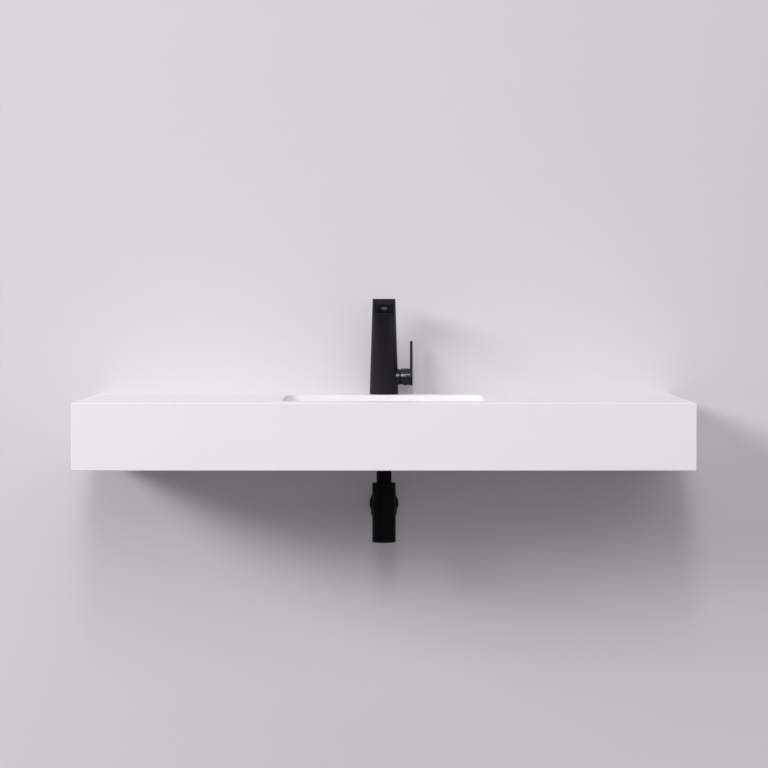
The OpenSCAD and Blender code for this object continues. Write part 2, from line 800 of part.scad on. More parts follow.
// Grid that breaks the stream up
module aerator_insert() {
    r = aerator_d / 2 - 2.5 - run_gap;
    pitch = 3;
    hole_w = 2.2;
    grid_h = 6;
    color(grey_plastic) at_outlet(pocket_depth - 1.6) difference() {
        cylinder(r = r, h = grid_h);
        for (i = [-2:2], j = [-2:2])
            if (norm([i, j]) < 2.3)
                translate([i * pitch - hole_w / 2, j * pitch - hole_w / 2, -1])
                    cube([hole_w, hole_w, grid_h + 2]);
    }
}

module aerator_seal() {
    color(black_rubber) at_outlet(pocket_depth + 7) tube(aerator_d / 2 - 1.2, aerator_d / 2 - 4, 1.5);
}

module fixing_stud() {
    color(zinc_steel) translate([0, stud_y, stud_end])
        cylinder(d = stud_d - fit_gap, h = stud_depth - stud_end);
}

// Horseshoe under the deck: clears the two hoses and takes the stud
module horseshoe(h) {
    slot_w = 30;
    difference() {
        translate([0, tap_y, 0]) cylinder(d = fixing_d, h = h);
        translate([-slot_w / 2, tap_y - 2, -1]) cube([slot_w, fixing_d, h + 2]);
        translate([0, stud_y, -1]) cylinder(d = stud_d + 0.6, h = h + 2);
    }
}

module fixing_rubber() {
    color(black_rubber) translate([0, 0, -sheet_t - fixing_rubber_t]) horseshoe(fixing_rubber_t);
}

module fixing_plate() {
    color(zinc_steel) translate([0, 0, -sheet_t - fixing_rubber_t - fixing_plate_t])
        horseshoe(fixing_plate_t);
}

module fixing_nut() {
    top = -sheet_t - fixing_rubber_t - fixing_plate_t;
    across_corners = 14;
    color(yellow_brass) translate([0, stud_y, top - fixing_nut_h]) difference() {
        cylinder(d = across_corners, h = fixing_nut_h, $fn = 6);
        translate([0, 0, -1]) cylinder(d = stud_d, h = fixing_nut_h + 2);
    }
}

module cartridge_housing() {
    color(grey_plastic) along_lever() rotate_extrude() polygon([
        [3, cartridge_back], [cartridge_d / 2, cartridge_back],
        [cartridge_d / 2, collar_reach - dome_neck], [disc_r, collar_reach - dome_neck],
        [disc_r, nose_front], [turret_r + run_gap, nose_front],
        [turret_r + run_gap, turret_back - seat_gap / 2], [disc_r, turret_back - seat_gap / 2],
        [disc_r, cartridge_back + cartridge_wall], [3, cartridge_back + cartridge_wall]
    ]);
}

module fixed_disc() {
    port_at = 5.5;
    port_r = 1.6;
    color(ceramic_white) along_lever(cartridge_back + cartridge_wall) difference() {
        cylinder(r = disc_r - run_gap, h = disc_t);
        for (a = [60, 180, 300]) rotate([0, 0, a]) translate([port_at, 0, -1])
            cylinder(r = port_r, h = disc_t + 2);
    }
}

// Upper disc with the socket that the ball of the stem pushes
module moving_disc() {
    color(ceramic_white) along_lever(disc_x) tube(moving_disc_r, socket_r, driver_t);
}

// Dome that holds the cartridge down; the lever hub swings over it
module cartridge_dome() {
    flat_x = 2;      // cut flat just past the pivot
    bore_r = disc_r + run_gap;
    back_x = collar_reach - pivot_x;
    a_front = acos(flat_x / dome_r);
    a_back = acos(back_x / dome_r);
    color(black_coat) along_lever(pivot_x) rotate_extrude() polygon(concat(
        [[bore_r, flat_x]],
        [for (i = [0:12]) let (a = a_front + (a_back - a_front) * i / 12)
            [dome_r * sin(a), dome_r * cos(a)]],
        [[cartridge_d / 2, back_x], [cartridge_d / 2, back_x - dome_neck], [bore_r, back_x - dome_neck]]
    ));
}

// Turret: turns with the lever and carries the pin that the lever tilts on
module cartridge_turret() {
    color(grey_plastic) difference() {
        along_lever(turret_back) cylinder(r = turret_r, h = turret_front - turret_back);
        // slot in which the stem tilts
        translate([turret_back - 1, tap_y - stem_w / 2 - fit_gap, lever_axis_z - 2 * turret_r])
            cube([40, stem_w + 2 * fit_gap, 4 * turret_r]);
        translate([pivot_x, tap_y + 20, lever_axis_z]) rotate([90, 0, 0])
            cylinder(r = pin_r, h = 40);
    }
}

module stem_pin() {
    color(zinc_steel) translate([pivot_x, tap_y + pin_l / 2, lever_axis_z]) rotate([90, 0, 0])
        cylinder(r = pin_r - 0.02, h = pin_l);
}

// Stem: square for the lever outside the pin, round with a ball inside it
module lever_stem() {
    color(yellow_brass) difference() {
        union() {
            translate([pivot_x - 4, tap_y - stem_w / 2, lever_axis_z - stem_w / 2])
                cube([blade_x - 1.2 - pivot_x + 4, stem_w, stem_w]);
            along_lever(pivot_x - stem_arm) {
                cylinder(r = 1.4, h = stem_arm);
                sphere(r = stem_ball_r);
            }
        }
        translate([pivot_x, tap_y + 20, lever_axis_z]) rotate([90, 0, 0])
            cylinder(r = pin_r + run_gap, h = 40);
    }
}

// Blade: the round end of the hub, drawn up to a narrow round tip
module lever_blade(h) {
    r_hub = hub_d / 2;
    r_tip = blade_tip_w / 2;
    rise = blade_h - r_tip;
    lean = asin((r_hub - r_tip) / rise);
    inset = 0.1;
    foot = r_hub - inset;
    tip = r_tip - inset;
    cylinder(r = r_hub, h = h);
    translate([-rise, 0, 0]) cylinder(r = r_tip, h = h);
    linear_extrude(h) polygon([
        [-foot * sin(lean), foot * cos(lean)], [-rise - tip * sin(lean), tip * cos(lean)],
        [-rise - tip * sin(lean), -tip * cos(lean)], [-foot * sin(lean), -foot * cos(lean)]
    ]);
}

module lever_handle() {
    lip = pivot_x - collar_reach - tilt_gap;
    socket_w = stem_w + 2 * run_gap;
    color(black_coat) difference() {
        union() {
            along_lever(hub_mouth) cylinder(d = hub_d, h = blade_x - hub_mouth + 1);
            along_lever(blade_x) lever_blade(blade_t);
        }
        along_lever(hub_mouth - 1) cylinder(r = hub_bore_r, h = hub_floor_x - hub_mouth + 1);
        // cut back so that the lower half of the mouth clears the collar when tilted
        translate([pivot_x, tap_y, lever_axis_z]) rotate([0, -lever_tilt, 0])
            translate([-lip - 40, -30, -40]) cube([40, 60, 80]);
        // square socket for the stem, and the screw that holds it
        translate([hub_floor_x - 1, tap_y - socket_w / 2, lever_axis_z - socket_w / 2])
            cube([blade_x - 1 - hub_floor_x + 1, socket_w, socket_w]);
        translate([(hub_floor_x + blade_x) / 2, tap_y, lever_axis_z - hub_d])
            cylinder(r = lever_screw_r + 0.02, h = hub_d);
    }
}

module lever_screw() {
    color(zinc_steel) translate([(hub_floor_x + blade_x) / 2, tap_y, lever_axis_z - hub_d / 2 + 1])
        cylinder(r = lever_screw_r, h = hub_d / 2 - 1 - stem_w / 2);
}

deck();
front_apron();
side_apron(-1);  // left_apron
side_apron(1);  // right_apron
wall_rail();
deck_pads();
bowl();
wall_bracket(-1);  // wall_bracket_left
wall_bracket(1);  // wall_bracket_right
deck_screws();
threaded_inserts();
waste_body();
waste_flange_seal();
waste_cone_seal();
waste_lock_nut();
click_cartridge();
plug_cap();
plug_seal();
plug_stem();
inlet_nut();
inlet_washer();
inlet_tube();
trap_ring_nut();
trap_neck_seal();
trap_body();
trap_end_cap();
end_cap_seal();
outlet_nut();
outlet_seal();
outlet_tube();
wall_plate();
tap_body();
tap_foot_seal();
aerator_housing();
aerator_insert();
aerator_seal();
fixing_stud();
fixing_rubber();
fixing_plate();
fixing_nut();
cartridge_housing();
cartridge_dome();
fixed_disc();
moving_disc();
cartridge_turret();
stem_pin();
lever_stem();
lever_handle();
lever_screw();
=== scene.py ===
import json
import math
import bpy
import bmesh
from mathutils import Matrix, Vector

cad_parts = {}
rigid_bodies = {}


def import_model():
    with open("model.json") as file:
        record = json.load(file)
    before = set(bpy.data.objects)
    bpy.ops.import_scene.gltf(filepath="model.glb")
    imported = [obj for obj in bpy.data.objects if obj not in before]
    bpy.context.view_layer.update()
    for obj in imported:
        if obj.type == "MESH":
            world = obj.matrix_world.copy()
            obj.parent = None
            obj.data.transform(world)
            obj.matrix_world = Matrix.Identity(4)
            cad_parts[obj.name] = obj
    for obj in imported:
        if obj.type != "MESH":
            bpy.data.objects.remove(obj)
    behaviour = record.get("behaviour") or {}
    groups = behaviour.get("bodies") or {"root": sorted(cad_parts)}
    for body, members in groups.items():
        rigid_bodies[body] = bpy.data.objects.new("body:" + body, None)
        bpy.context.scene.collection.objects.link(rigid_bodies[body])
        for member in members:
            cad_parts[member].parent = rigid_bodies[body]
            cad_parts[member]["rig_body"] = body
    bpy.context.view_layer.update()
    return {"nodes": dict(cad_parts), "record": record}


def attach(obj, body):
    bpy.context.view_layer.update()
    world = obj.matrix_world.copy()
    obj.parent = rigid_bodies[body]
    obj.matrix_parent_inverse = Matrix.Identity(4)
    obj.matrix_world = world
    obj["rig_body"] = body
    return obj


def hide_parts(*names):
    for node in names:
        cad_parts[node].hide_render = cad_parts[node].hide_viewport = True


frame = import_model()
mm = 0.001
nodes = frame["nodes"]
print("frame loaded:", len(nodes), "nodes")


# Camera

cameraSet = {
    "place": (0.0, -5.454, 0.2138),
    "lens": 121.8,
    "sensor": 36.0,
    "tilt": 2.04,  # degrees below the horizon
    "clip": (0.05, 60.0),
}


def makeCamera(s):
    data = bpy.data.cameras.new("camera")
    data.lens = s["lens"]
    data.sensor_width = s["sensor"]
    data.clip_start, data.clip_end = s["clip"]
    cam = bpy.data.objects.new("camera", data)
    cam.location = s["place"]
    cam.rotation_euler = (math.radians(90 - s["tilt"]), 0, 0)
    bpy.context.collection.objects.link(cam)
    bpy.context.scene.camera = cam


makeCamera(cameraSet)
print("camera placed")


# Shader maths

class Wire:  # one number in a material, which sums and products turn into Math nodes
    def __init__(self, paint, out):
        self.paint = paint
        self.out = out

    def maths(self, operation, a, b):
        node = self.paint.add("ShaderNodeMath", {"operation": operation}, {0: a, 1: b})
        return Wire(self.paint, node.outputs[0])

    def __add__(self, other):
        return self.maths("ADD", self, other)

    __radd__ = __add__

    def __sub__(self, other):
        return self.maths("SUBTRACT", self, other)

    def __rsub__(self, other):
        return self.maths("SUBTRACT", other, self)

    def __mul__(self, other):
        return self.maths("MULTIPLY", self, other)

    __rmul__ = __mul__


class Paint:  # one material, or the sky, while it is put together
    def __init__(self, name, shelf=bpy.data.materials, output="ShaderNodeOutputMaterial"):
        self.material = shelf.new(name)
        self.material.use_nodes = True
        self.tree = self.material.node_tree
        self.tree.nodes.clear()
        self.output = self.add(output)
        self.place = self.add("ShaderNodeTexCoord").outputs["Object"]

    def add(self, kind, settings=None, values=None):
        node = self.tree.nodes.new(kind)
        for key, value in (settings or {}).items():
            setattr(node, key, value)
        for key, value in (values or {}).items():
            if isinstance(value, Wire):
                value = value.out
            if isinstance(value, bpy.types.NodeSocket):
                self.tree.links.new(value, node.inputs[key])
            else:
                node.inputs[key].default_value = value
        return node

    def number(self, node, name):
        return Wire(self, node.outputs[name])

    def noise(self, scale, detail, roughness=0.5):
        node = self.add("ShaderNodeTexNoise", None,
                        {"Vector": self.place, "Scale": scale, "Detail": detail,
                         "Roughness": roughness})
        return self.number(node, "Fac")

    def blend(self, factor, first, second):
        node = self.add("ShaderNodeMix", {"data_type": "RGBA"},
                        {0: factor, 6: (*first, 1), 7: (*second, 1)})
        return node.outputs[2]

    def bump(self, height, strength, distance):
        node = self.add("ShaderNodeBump", None,
                        {"Height": height, "Strength": strength, "Distance": distance})
        return node.outputs["Normal"]

    def shownTo(self):  # 1 for a ray from the camera, a reflection or glass
        path = self.add("ShaderNodeLightPath")
        return (self.number(path, "Is Camera Ray") + self.number(path, "Is Glossy Ray")
                + self.number(path, "Is Transmission Ray"))

    def shade(self, kind, values):
        shader = self.add(kind, None, values)
        self.tree.links.new(shader.outputs[0], self.output.inputs[0])
        return self.material

    def finish(self, values):
        return self.shade("ShaderNodeBsdfPrincipled", values)


def mixed(shares, first, second):  # a share of each of two patterns
    return first * shares[0] + second * shares[1]


# Finishes of the object. Each pattern has a scale and a detail. Tone is what the patterns add to
# the colour, shine what they add to the lowest roughness. Bump is a strength and a height.

stoneSet = {
    "dark": (0.800, 0.785, 0.815),
    "light": (0.825, 0.808, 0.838),
    "roughness": 0.39,
    "cloud": (6.0, 3.0),
    "grain": (900.0, 2.0),
    "tone": (0.7, 0.6),
    "toneShift": 0.15,
    "shine": (0.08, 0.06),
    "bump": (0.12, 0.02 * mm),
}


def stoneFinish(s):
    p = Paint("matteStone")
    cloud, grain = p.noise(*s["cloud"]), p.noise(*s["grain"])
    tone = mixed(s["tone"], cloud, grain) - s["toneShift"]
    return p.finish({
        "Base Color": p.blend(tone, s["dark"], s["light"]),
        "Roughness": mixed(s["shine"], cloud, grain) + s["roughness"],
        "Normal": p.bump(grain, *s["bump"]),
    })


coatSet = {
    "name": "matteBlackCoat",
    "dark": (0.0064, 0.0052, 0.0072),
    "light": (0.0096, 0.0082, 0.0106),
    "roughness": 0.40,
    "specular": 0.15,
    "cloud": (35.0, 3.0),
    "grain": (1400.0, 2.0, 0.6),
    "shine": (0.06, 0.04),
    "bump": (0.12, 0.02 * mm),
}
satinSet = dict(coatSet, name="satinBlackCoat", dark=(0.0030, 0.0024, 0.0035),
                light=(0.0045, 0.0037, 0.0052), roughness=0.08, specular=0.34)
# the same black coat made darker and less reflective for the trap and waste under the counter:
# painted shade
shadedCoatSet = dict(coatSet, name="paintedShadeBlackCoat", dark=(0.0008, 0.0006, 0.0010),
               light=(0.0016, 0.0012, 0.0020), roughness=0.31, specular=0.04)


def coatFinish(s):
    p = Paint(s["name"])
    cloud, grain = p.noise(*s["cloud"]), p.noise(*s["grain"])
    return p.finish({
        "Base Color": p.blend(grain, s["dark"], s["light"]),
        "Roughness": mixed(s["shine"], cloud, grain) + s["roughness"],
        "Specular IOR Level": s["specular"],
        "Normal": p.bump(grain, *s["bump"]),
    })


rubberSet = {
    "dark": (0.018, 0.018, 0.018),
    "light": (0.032, 0.031, 0.030),
    "roughness": 0.68,
    "grain": (700.0, 4.0, 0.65),
    "shine": 0.15,
    "bump": (0.3, 0.05 * mm),
}


def rubberFinish(s):
    p = Paint("blackRubber")
    grain = p.noise(*s["grain"])
    return p.finish({
        "Base Color": p.blend(grain, s["dark"], s["light"]),
        "Roughness": grain * s["shine"] + s["roughness"],
        "Normal": p.bump(grain, *s["bump"]),
    })


zincSet = {
    "dark": (0.42, 0.43, 0.45),
    "light": (0.60, 0.61, 0.63),
    "roughness": 0.28,
    "metallic": 0.9,
    "flakes": 160.0,
    "cloud": (28.0, 4.0),
    "grain": (420.0, 3.0),
    "tone": (0.8, 0.5),
    "shine": (0.2, 0.1),
    "bump": (0.15, 0.04 * mm),
}


def zincFinish(s):
    p = Paint("zincedSteel")
    flakes = p.add("ShaderNodeTexVoronoi", {"feature": "F1"},
                   {"Vector": p.place, "Scale": s["flakes"]})
    patch, cloud = p.number(flakes, "Distance"), p.noise(*s["cloud"])
    return p.finish({
        "Base Color": p.blend(mixed(s["tone"], patch, cloud), s["dark"], s["light"]),
        "Metallic": s["metallic"],
        "Roughness": mixed(s["shine"], cloud, patch) + s["roughness"],
        "Normal": p.bump(p.noise(*s["grain"]), *s["bump"]),
    })


brassSet = {
    "dark": (0.52, 0.34, 0.12),
    "light": (0.72, 0.52, 0.22),
    "roughness": 0.22,
    "metallic": 1.0,
    "cloud": (60.0, 4.0),
    "rings": 900.0,
    "waver": 0.4,
    "shine": (0.2, 0.06),
    "bump": (0.15, 0.03 * mm),
}


def brassFinish(s):
    p = Paint("turnedBrass")
    cloud = p.noise(*s["cloud"])
    rings = p.add("ShaderNodeTexWave", {"wave_type": "BANDS", "bands_direction": "Z"},
                  {"Vector": p.place, "Scale": s["rings"], "Distortion": s["waver"]})
    grooves = p.number(rings, "Fac")
    return p.finish({
        "Base Color": p.blend(cloud, s["dark"], s["light"]),
        "Metallic": s["metallic"],
        "Roughness": mixed(s["shine"], cloud, grooves) + s["roughness"],
        "Normal": p.bump(grooves, *s["bump"]),
    })


plasticSet = {
    "dark": (0.20, 0.20, 0.21),
    "light": (0.26, 0.26, 0.27),
    "roughness": 0.44,
    "cloud": (90.0, 2.0),
    "grain": (1500.0, 2.0),
    "shine": 0.12,
    "bump": (0.15, 0.03 * mm),
}


def plasticFinish(s):
    p = Paint("greyPlastic")
    cloud, grain = p.noise(*s["cloud"]), p.noise(*s["grain"])
    return p.finish({
        "Base Color": p.blend(cloud, s["dark"], s["light"]),
        "Roughness": grain * s["shine"] + s["roughness"],
        "Normal": p.bump(grain, *s["bump"]),
    })


discSet = {
    "dark": (0.76, 0.73, 0.67),
    "light": (0.84, 0.82, 0.77),
    "roughness": 0.23,
    "cloud": (300.0, 3.0),
    "grain": (1800.0, 2.0),
    "shine": 0.1,
    "bump": (0.1, 0.02 * mm),
}


def discFinish(s):
    p = Paint("groundCeramic")
    cloud = p.noise(*s["cloud"])
    return p.finish({
        "Base Color": p.blend(cloud, s["dark"], s["light"]),
        "Roughness": cloud * s["shine"] + s["roughness"],
        "Normal": p.bump(p.noise(*s["grain"]), *s["bump"]),
    })


finishes = {
    "solid_surface": stoneFinish(stoneSet),
    "black_metal": coatFinish(coatSet),
    "black_rubber": rubberFinish(rubberSet),
    "zinc_steel": zincFinish(zincSet),
    "brass": brassFinish(brassSet),
    "grey_plastic": plasticFinish(plasticSet),
    "ceramic_disc": discFinish(discSet),
}
satinCoat = coatFinish(satinSet)
paintedShadeCoat = coatFinish(shadedCoatSet)
slotOf = {part["node"]: part["material_slot"] for part in frame["record"]["subparts"]}
for name, piece in nodes.items():
    for place in piece.material_slots:
        place.material = finishes[slotOf[name]]
for name in ("inlet_tube", "outlet_tube"):  # painted shade: the darker, less reflective copy of the black coat, as on the rest of the trap under the counter
    nodes[name].material_slots[0].material = paintedShadeCoat
print("finishes given to", len(nodes), "nodes")


# Mesh tools, in millimetres

weldGap = 0.001   # points closer than this become one
smoothAngle = 34  # degrees above which an edge stays sharp
lap = 1.0         # how far shapes that are joined or cut run past each other
crest = (0.4, 0.6)  # where the flat top of a thread lies, in pitches


def lifted(x, y, z):
    return Matrix.Translation((x, y, z))


def turned(degrees, axis):
    return Matrix.Rotation(math.radians(degrees), 4, axis)


def stretched(x, y, z=1):
    return Matrix.Diagonal((x, y, z, 1))


def moved(bm, matrix):
    bmesh.ops.transform(bm, matrix=matrix, verts=bm.verts)
    return bm


def block(low, high):
    bm = bmesh.new()
    bmesh.ops.create_cube(bm, size=1)
    low, high = Vector(low), Vector(high)
    return moved(bm, lifted(*((low + high) / 2)) @ stretched(*(high - low)))


def rod(radius, length, steps=64):  # stands on the origin
    bm = bmesh.new()
    bmesh.ops.create_cone(bm, cap_ends=True, segments=steps, radius1=radius, radius2=radius,
                          depth=length)
    return moved(bm, lifted(0, 0, length / 2))


def spun(profile, steps=96):  # (radius, height) points turned round the Z axis
    bm = bmesh.new()
    verts = [bm.verts.new((radius, 0, height)) for radius, height in profile]
    edges = [bm.edges.new(pair) for pair in zip(verts, verts[1:])]
    if profile[0][0] > 0:
        edges.append(bm.edges.new((verts[-1], verts[0])))
    bmesh.ops.spin(bm, geom=verts + edges, cent=(0, 0, 0), axis=(0, 0, 1), angle=2 * math.pi,
                   steps=steps, use_merge=True)
    bmesh.ops.remove_doubles(bm, verts=bm.verts, dist=weldGap)
    bmesh.ops.recalc_face_normals(bm, faces=bm.faces)
    return bm


def arc(radius, height, width, rise, first, last, steps):  # profile points on part of an ellipse
    turns = [math.radians(first + (last - first) * i / steps) for i in range(steps + 1)]
    return [(radius + width * math.cos(a), height + rise * math.sin(a)) for a in turns]


def threaded(radius, depth, pitch, low, high):  # profile points up a threaded shank
    points = [(radius - depth, low)]
    for i in range(int((high - low) / pitch)):
        z = low + i * pitch
        points += [(radius, z + crest[0] * pitch), (radius, z + crest[1] * pitch),
                   (radius - depth, z + pitch)]
    return points


def bevelled(bm, items, width, segments, affect="EDGES", clamp=False):
    bmesh.ops.bevel(bm, geom=items, offset=width, offset_type="OFFSET", segments=segments,
                    profile=0.5, affect=affect, clamp_overlap=clamp, material=-1)
    return bm


def eased(bm, width, segments=2, angle=30):  # rounds the sharp outer edges over
    sharp = [edge for edge in bm.edges
             if edge.is_manifold and edge.calc_face_angle_signed(0) > math.radians(angle)]
    return bevelled(bm, sharp, width, segments, clamp=True)


def roundedFace(width, length, radius, height, segments):
    bm = bmesh.new()
    bmesh.ops.create_grid(bm, x_segments=1, y_segments=1, size=0.5)
    moved(bm, lifted(0, 0, height) @ stretched(width, length))
    return bevelled(bm, bm.verts[:], radius, segments, "VERTICES")


def drawnOut(bm, face, first):  # extrudes an end face on, and leaves only the first one behind
    new = bmesh.ops.extrude_face_region(bm, geom=[face])["geom"]
    if not first:
        bmesh.ops.delete(bm, geom=[face], context="FACES_ONLY")
    return next(item for item in new if isinstance(item, bmesh.types.BMFace))


def traySolid(width, length, radius, levels, sump=None, segments=12):
    # a rounded block through (height, inset) levels, drawn in to a round sump (radius, height)
    bm = roundedFace(width, length, radius, levels[0][0], segments)
    bm.faces.ensure_lookup_table()
    face = bm.faces[0]
    for (height, inset), (lower, deeper) in zip(levels, levels[1:]):
        face = drawnOut(bm, face, height == levels[0][0])
        narrowed = stretched((width - 2 * deeper) / (width - 2 * inset),
                             (length - 2 * deeper) / (length - 2 * inset))
        bmesh.ops.transform(bm, verts=face.verts, matrix=lifted(0, 0, lower - height) @ narrowed)
    if sump:
        loop = list(face.edges)
        bmesh.ops.delete(bm, geom=[face], context="FACES_ONLY")
        circle = bmesh.ops.create_circle(bm, cap_ends=False, segments=len(loop), radius=sump[0],
                                         matrix=lifted(0, 0, sump[1]))["verts"]
        rim = list(dict.fromkeys(edge for vert in circle for edge in vert.link_edges))
        bmesh.ops.bridge_loops(bm, edges=loop + rim)
        bmesh.ops.contextual_create(bm, geom=rim)
    bmesh.ops.recalc_face_normals(bm, faces=bm.faces)
    return bm


def looseObject(bm):
    mesh = bpy.data.meshes.new("loose")
    bm.to_mesh(mesh)
    bm.free()
    loose = bpy.data.objects.new("loose", mesh)
    bpy.context.collection.objects.link(loose)
    return loose


def carved(bm, tools, operation="DIFFERENCE"):
    base = looseObject(bm)
    cutters = [looseObject(tool) for tool in tools]
    for cutter in cutters:
        cut = base.modifiers.new("cut", "BOOLEAN")
        cut.solver = "EXACT"
        cut.operation = operation
        cut.object = cutter
    graph = bpy.context.evaluated_depsgraph_get()
    solid = bpy.data.meshes.new_from_object(base.evaluated_get(graph))
    result = bmesh.new()
    result.from_mesh(solid)
    bpy.data.meshes.remove(solid)
    for loose in [base, *cutters]:
        mesh = loose.data
        bpy.data.objects.remove(loose)
        bpy.data.meshes.remove(mesh)
    bmesh.ops.remove_doubles(result, verts=result.verts, dist=weldGap)
    return result


def joined(bm, others):
    return carved(bm, others, "UNION")


def keepPiece(name, bm, body, slot, replaced, finish=None):
    moved(bm, Matrix.Scale(mm, 4))
    mesh = bpy.data.meshes.new(name)
    bm.to_mesh(mesh)
    bm.free()
    mesh.shade_smooth()
    mesh.set_sharp_from_angle(angle=math.radians(smoothAngle))
    mesh.materials.append(finish or finishes[slot])
    piece = bpy.data.objects.new(name, mesh)
    bpy.context.collection.objects.link(piece)
    even = piece.modifiers.new("even", "WEIGHTED_NORMAL")
    even.keep_sharp = True
    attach(piece, body)
    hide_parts(*replaced)
    return piece


def keepPaintedShade(name, bm, node):  # a fixed black piece under the counter, given the darker, less reflective copy of the coat as painted shade
    keepPiece(name, bm, "basin", "black_metal", [node], paintedShadeCoat)


# Counter and bowl in one seamless casting

counterSet = {
    "width": 1200.0,
    "depth": 480.0,
    "height": 130.0,
    "sheet": 12.0,
    "edge": 1.5,
    "edgeSteps": 3,
    "bowlWidth": 400.0,
    "bowlLength": 290.0,
    "bowlY": -240.0,
    "corner": 26.0,
    "rim": 2.0,          # rounding where the deck turns down into the bowl
    "rimSteps": 4,
    "foot": 80.0,        # depth where the walls end
    "footRadius": 20.0,
    "footSteps": 12,
    "floor": 86.0,       # depth at the waste
    "draft": 4.0,
    "wall": 10.0,
    "base": 12.0,        # thickness round the waste
    "baseFall": 4.0,     # fall of the underside towards the waste
    "sump": 40.0,
    "flange": 22.0,
    "bracketX": 420.0,
    "padHalf": 33.0,
    "padReach": 328.0,
    "padFoot": -30.0,
    "railGap": 30.0,     # half of what the rail leaves open for a bracket
    "railFoot": -42.0,
    "holes": [           # radius, length, y and lower end
        (33.5, 20.0, -240.0, -89.0),  # seat of the waste
        (22.5, 40.0, -240.0, -99.0),  # waste
        (17.5, 20.0, -48.0, -15.0),   # tap
        (26.0, 12.0, -48.0, -24.0),   # room for the tap's fixing
    ],
    "screwsY": (-60.0, -270.0),
    "screwHole": (6.0, 16.0, 32),  # radius, length and steps
    "screwFoot": -31.0,
    "over": 5.0,         # how far the cutter for the hollow stands out
    "near": 0.5,         # how far out edges are still looked for
    "level": 0.01,       # how far off the deck those of the opening may lie
}


def bowlLevels(s, grow, top, foot):
    def inset(height):
        return max(0, (-s["sheet"] - height) * math.tan(math.radians(s["draft"])))
    radius = s["footRadius"] + grow
    levels = [(top, 0), (-s["sheet"], 0)]
    for i in range(s["footSteps"] + 1):
        a = math.radians(90 * i / s["footSteps"])
        height = foot + radius - radius * math.sin(a)
        levels.append((height, inset(height) + radius * (1 - math.cos(a))))
    return levels


def counterParts(s):  # what is joined on under the deck
    sheet, grow, wide = s["sheet"], s["wall"], s["wall"] + s["flange"]
    under = -(s["floor"] + s["base"])
    shell = traySolid(s["bowlWidth"] + 2 * grow, s["bowlLength"] + 2 * grow, s["corner"] + grow,
                      bowlLevels(s, grow, lap - sheet, under + s["baseFall"]),
                      (s["sump"] + grow, under))
    flange = traySolid(s["bowlWidth"] + 2 * wide, s["bowlLength"] + 2 * wide, s["corner"],
                       [(lap - sheet, 0), (-sheet - grow, 0)])
    place = lifted(0, s["bowlY"], 0)
    parts = [moved(shell, place), moved(flange, place)]
    end = s["width"] / 2 - sheet + lap
    for side in (-1, 1):
        x = side * s["bracketX"]
        parts.append(block((x - s["padHalf"], -s["padReach"], s["padFoot"]),
                           (x + s["padHalf"], -sheet, lap - sheet)))
        left, right = sorted((x + side * s["railGap"], side * end))
        parts.append(block((left, -sheet, s["railFoot"]), (right, 0, lap - sheet)))
    middle = s["bracketX"] - s["railGap"]
    parts.append(block((-middle, -sheet, s["railFoot"]), (middle, 0, lap - sheet)))
    return parts


def counterCuts(s):
    tray = traySolid(s["bowlWidth"], s["bowlLength"], s["corner"],
                     bowlLevels(s, 0, lap, -s["foot"]), (s["sump"], -s["floor"]))
    cuts = [moved(tray, lifted(0, s["bowlY"], 0))]
    for radius, length, y, z in s["holes"]:
        cuts.append(moved(rod(radius, length), lifted(0, y, z)))
    for side in (-1, 1):
        for y in s["screwsY"]:
            place = lifted(side * s["bracketX"], y, s["screwFoot"])
            cuts.append(moved(rod(*s["screwHole"]), place))
    return cuts


def makeCounter(s):
    half, inner = s["width"] / 2, s["width"] / 2 - s["sheet"]
    bm = block((-half, -s["depth"], -s["height"]), (half, 0, 0))
    free = [edge for edge in bm.edges if min(vert.co.y for vert in edge.verts) < -s["near"]]
    bevelled(bm, free, s["edge"], s["edgeSteps"])
    bm = carved(bm, [block((-inner, s["sheet"] - s["depth"], -s["height"] - s["over"]),
                           (inner, s["over"], -s["sheet"]))])
    bm = carved(joined(bm, counterParts(s)), counterCuts(s))
    x, y = s["bowlWidth"] / 2 + s["near"], s["bowlLength"] / 2 + s["near"]
    rim = [edge for edge in bm.edges
           if all(abs(vert.co.z) < s["level"] and abs(vert.co.x) < x
                  and abs(vert.co.y - s["bowlY"]) < y for vert in edge.verts)]
    bevelled(bm, rim, s["rim"], s["rimSteps"])
    keepPiece("counterCasting", bm, "basin", "solid_surface",
              ["deck", "front_apron", "left_apron", "right_apron", "wall_rail", "deck_pads",
               "bowl"])


makeCounter(counterSet)
print("counter cast")


# Tap

tapSet = {
    "y": -48.0,
    "gap": 0.3,          # between the deck and the column
    "footRadius": 30.0,
    "topRadius": 23.6,
    "height": 198.5,
    "lean": 54.0,
    "reach": 102.0,
    "tipWidth": 45.6,
    "tipCorner": 2.5,
    "lip": 187.0,        # lower edge of the upright lip
    "under": 169.0,      # lower edge of the sloping face
    "underCorner": 5.0,
    "throat": 129.0,     # where the front starts to sweep out
    "tilt": 30.0,
    "steps": 14,         # up to the throat, and again up to the sloping face
    "points": 96,
    "ease": (0.9, 3, 24),
    "pocket": (12.6, 4.0),  # how much narrower and shorter it is than the sloping face
    "pocketCorner": 4.0,
    "pocketLevels": [(-5, 0), (2.4, 0), (3, 0.6)],
    "pocketSteps": 6,
    "aeratorHole": (9.0, 15.0),
    "sealGroove": [(24, -1), (27, -1), (27, 2.3), (24, 2.3)],
    "neck": (16.5, 10.0),  # goes down into the deck
    "neckFoot": -8.0,
    "boreFoot": -9.0,
    "studHole": (4.0, 20.0, 32),
    "studY": -9.0,       # from the middle of the foot
    "inletHole": (4.6, 17.0, 32),
    "inlets": ((-9.0, 5.0), (9.0, 5.0)),
    "leverZ": 36.0,
    "cartridge": 12.6,
    "cartridgeLength": 60.0,
    "cartridgeStart": 16.4,
    "collarRadius": 17.0,
    "collarStart": 17.0,
    "collarReach": 32.0,
    "collarEase": 0.5,
    "collarCurve": 0.15,  # at the middle of that rounding
}


